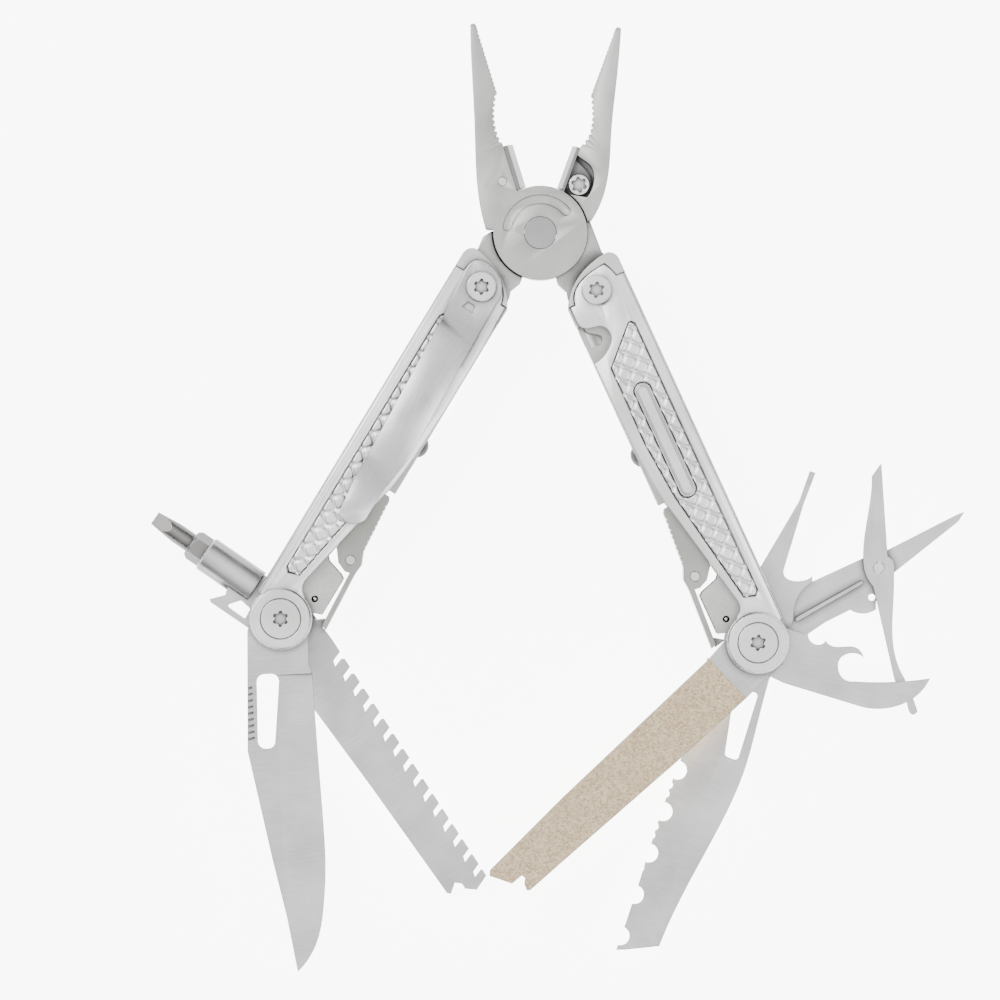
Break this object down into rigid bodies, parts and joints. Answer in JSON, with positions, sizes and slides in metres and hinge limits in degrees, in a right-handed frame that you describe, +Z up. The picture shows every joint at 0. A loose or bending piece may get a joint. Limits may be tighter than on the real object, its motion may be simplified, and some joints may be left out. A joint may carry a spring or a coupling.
{
  "type": "folding pliers multi tool",
  "caption": "Folding pliers multi tool fanned open, with knife, saw, file, serrated blade, scissors, can opener, driver and bit holder in locking handles.",
  "frame": {"origin": "bottom centre of the part's box as it lies fanned open, on the plane that the rear screw heads rest on", "axes": "+Z up through the lying tool, normal to the handles' faces and along every pivot; +Y towards the plier jaws; +X towards the handle that holds the scissors"},
  "size_m": [0.1888, 0.2194, 0.0224],
  "materials": {
    "scale_steel": "satin bead-blasted stainless steel",
    "frame_steel": "tumbled stainless steel",
    "fastener_steel": "polished stainless steel",
    "pivot_steel": "turned and polished steel",
    "lock_steel": "satin stainless steel",
    "bumper_rubber": "black moulded rubber",
    "jaw_steel": "bead-blasted cast stainless steel",
    "cutter_steel": "ground hard steel",
    "blade_steel": "stone-washed stainless steel",
    "grit": "bonded diamond grit, tan and grainy",
    "tool_steel": "satin stainless steel",
    "bit_steel": "dark phosphated tool steel",
    "clip_steel": "satin spring steel"
  },
  "bodies": {
    "front_jaw_half": {"front_jaw": "jaw_steel", "front_cutter_insert": "cutter_steel", "cutter_pin": "pivot_steel"},
    "pivot_rivet": {"pliers_rivet": "pivot_steel"},
    "rear_jaw_half": {"rear_jaw": "jaw_steel", "rear_cutter_insert": "cutter_steel", "cutter_screw": "fastener_steel"},
    "left_handle": {"left_frame": "frame_steel", "left_front_scale": "scale_steel", "left_rear_scale": "scale_steel", "left_bolsters": "frame_steel", "left_lock_pins": "fastener_steel", "left_bumper": "bumper_rubber", "left_detent_balls": "fastener_steel", "left_tool_axle": "pivot_steel", "left_head_axle": "pivot_steel", "left_tool_washers": "pivot_steel", "left_tool_screws": "fastener_steel", "left_head_screws": "fastener_steel", "left_axle_spacers": "pivot_steel", "pocket_clip": "clip_steel"},
    "right_handle": {"right_frame": "frame_steel", "right_front_scale": "scale_steel", "right_rear_scale": "scale_steel", "right_bolsters": "frame_steel", "right_lock_pins": "fastener_steel", "right_bumper": "bumper_rubber", "right_detent_balls": "fastener_steel", "right_tool_axle": "pivot_steel", "right_head_axle": "pivot_steel", "right_tool_washers": "pivot_steel", "right_tool_screws": "fastener_steel", "right_head_screws": "fastener_steel", "right_axle_spacers": "pivot_steel"},
    "left_lock": {"left_lock_bar": "lock_steel"},
    "right_lock": {"right_lock_bar": "lock_steel"},
    "knife": {"knife_blade": "blade_steel"},
    "saw": {"saw_blade": "blade_steel"},
    "file": {"file_body": "blade_steel", "diamond_grit": "grit"},
    "serrated": {"serrated_blade": "blade_steel"},
    "bit_holder": {"bit_holder": "tool_steel", "bit_holder_bushing": "pivot_steel"},
    "screwdriver_bit": {"screwdriver_bit": "bit_steel"},
    "can_opener": {"can_opener": "tool_steel", "can_opener_bushing": "pivot_steel"},
    "flat_driver": {"flat_driver": "tool_steel", "flat_driver_bushing": "pivot_steel"},
    "scissors": {"scissors_fixed_blade": "tool_steel", "scissors_spring": "tool_steel", "scissors_bushing": "pivot_steel", "scissors_rivet": "pivot_steel"},
    "scissors_lever": {"scissors_lever": "tool_steel"}
  },
  "joints": [
    {"name": "pliers_squeeze", "type": "hinge", "parent": "pivot_rivet", "child": "front_jaw_half", "pos_m": [-0.00415, 0.06103, 0.0104], "axis": [0, 0, -1], "range_deg": [0, 37.2]},
    {"name": "jaw_close", "type": "hinge", "parent": "pivot_rivet", "child": "rear_jaw_half", "pos_m": [-0.00415, 0.06103, 0.0104], "axis": [0, 0, 1], "range_deg": [0, 37.2]},
    {"name": "left_fold", "type": "hinge", "parent": "rear_jaw_half", "child": "left_handle", "pos_m": [-0.01774, 0.04832, 0.0104], "axis": [0, 0, 1], "range_deg": [-168.9, 0]},
    {"name": "right_fold", "type": "hinge", "parent": "front_jaw_half", "child": "right_handle", "pos_m": [0.00876, 0.04763, 0.0104], "axis": [0, 0, 1], "range_deg": [0, 172.5]},
    {"name": "knife_open", "type": "hinge", "parent": "left_handle", "child": "knife", "pos_m": [-0.06405, -0.02815, 0.0104], "axis": [0, 0, -1], "range_deg": [-143.7, 34.3]},
    {"name": "saw_open", "type": "hinge", "parent": "left_handle", "child": "saw", "pos_m": [-0.06405, -0.02815, 0.0104], "axis": [0, 0, -1], "range_deg": [-113.2, 64.8]},
    {"name": "file_open", "type": "hinge", "parent": "right_handle", "child": "file", "pos_m": [0.04598, -0.03366, 0.0104], "axis": [0, 0, 1], "range_deg": [-109.2, 70.8]},
    {"name": "serrated_open", "type": "hinge", "parent": "right_handle", "child": "serrated", "pos_m": [0.04598, -0.03366, 0.0104], "axis": [0, 0, 1], "range_deg": [-133.6, 45.4]},
    {"name": "bit_holder_fold", "type": "hinge", "parent": "left_handle", "child": "bit_holder", "pos_m": [-0.06405, -0.02815, 0.0104], "axis": [0, 0, 1], "range_deg": [-86.5, 0]},
    {"name": "bit_pull", "type": "slide", "parent": "bit_holder", "child": "screwdriver_bit", "axis": [-0.8221, 0.5693, 0], "range_m": [0, 0.013]},
    {"name": "can_opener_open", "type": "hinge", "parent": "right_handle", "child": "can_opener", "pos_m": [0.04598, -0.03366, 0.0104], "axis": [0, 0, -1], "range_deg": [-135.4, 53.4]},
    {"name": "driver_fold", "type": "hinge", "parent": "right_handle", "child": "flat_driver", "pos_m": [0.04598, -0.03366, 0.0104], "axis": [0, 0, -1], "range_deg": [-47.6, 0]},
    {"name": "scissors_fold", "type": "hinge", "parent": "right_handle", "child": "scissors", "pos_m": [0.04598, -0.03366, 0.0104], "axis": [0, 0, -1], "range_deg": [-87.6, 0]},
    {"name": "scissors_close", "type": "hinge", "parent": "scissors", "child": "scissors_lever", "pos_m": [0.0744, -0.01649, 0.0104], "axis": [0, 0, 1], "range_deg": [-58, 0], "deforming": ["scissors_spring"]},
    {"name": "left_lock_press", "type": "hinge", "parent": "left_handle", "child": "left_lock", "pos_m": [-0.048, -0.01468, 0.0104], "axis": [0, 0, 1], "range_deg": [0, 2.5], "stiffness_Nm_per_rad": 0.6},
    {"name": "right_lock_press", "type": "hinge", "parent": "right_handle", "child": "right_lock", "pos_m": [0.03159, -0.01844, 0.0104], "axis": [0, 0, -1], "range_deg": [0, 2.5], "stiffness_Nm_per_rad": 0.6}
  ],
  "couplings": [
    {"joint": "jaw_close", "follows": "left_fold", "ratio": -0.22025},
    {"joint": "right_fold", "follows": "left_fold", "ratio": -1.0213},
    {"joint": "bit_holder_fold", "follows": "left_fold", "ratio": 0.51214},
    {"joint": "driver_fold", "follows": "left_fold", "ratio": 0.28182},
    {"joint": "scissors_fold", "follows": "left_fold", "ratio": 0.51865},
    {"joint": "scissors_close", "follows": "left_fold", "ratio": 0.3434}
  ]
}
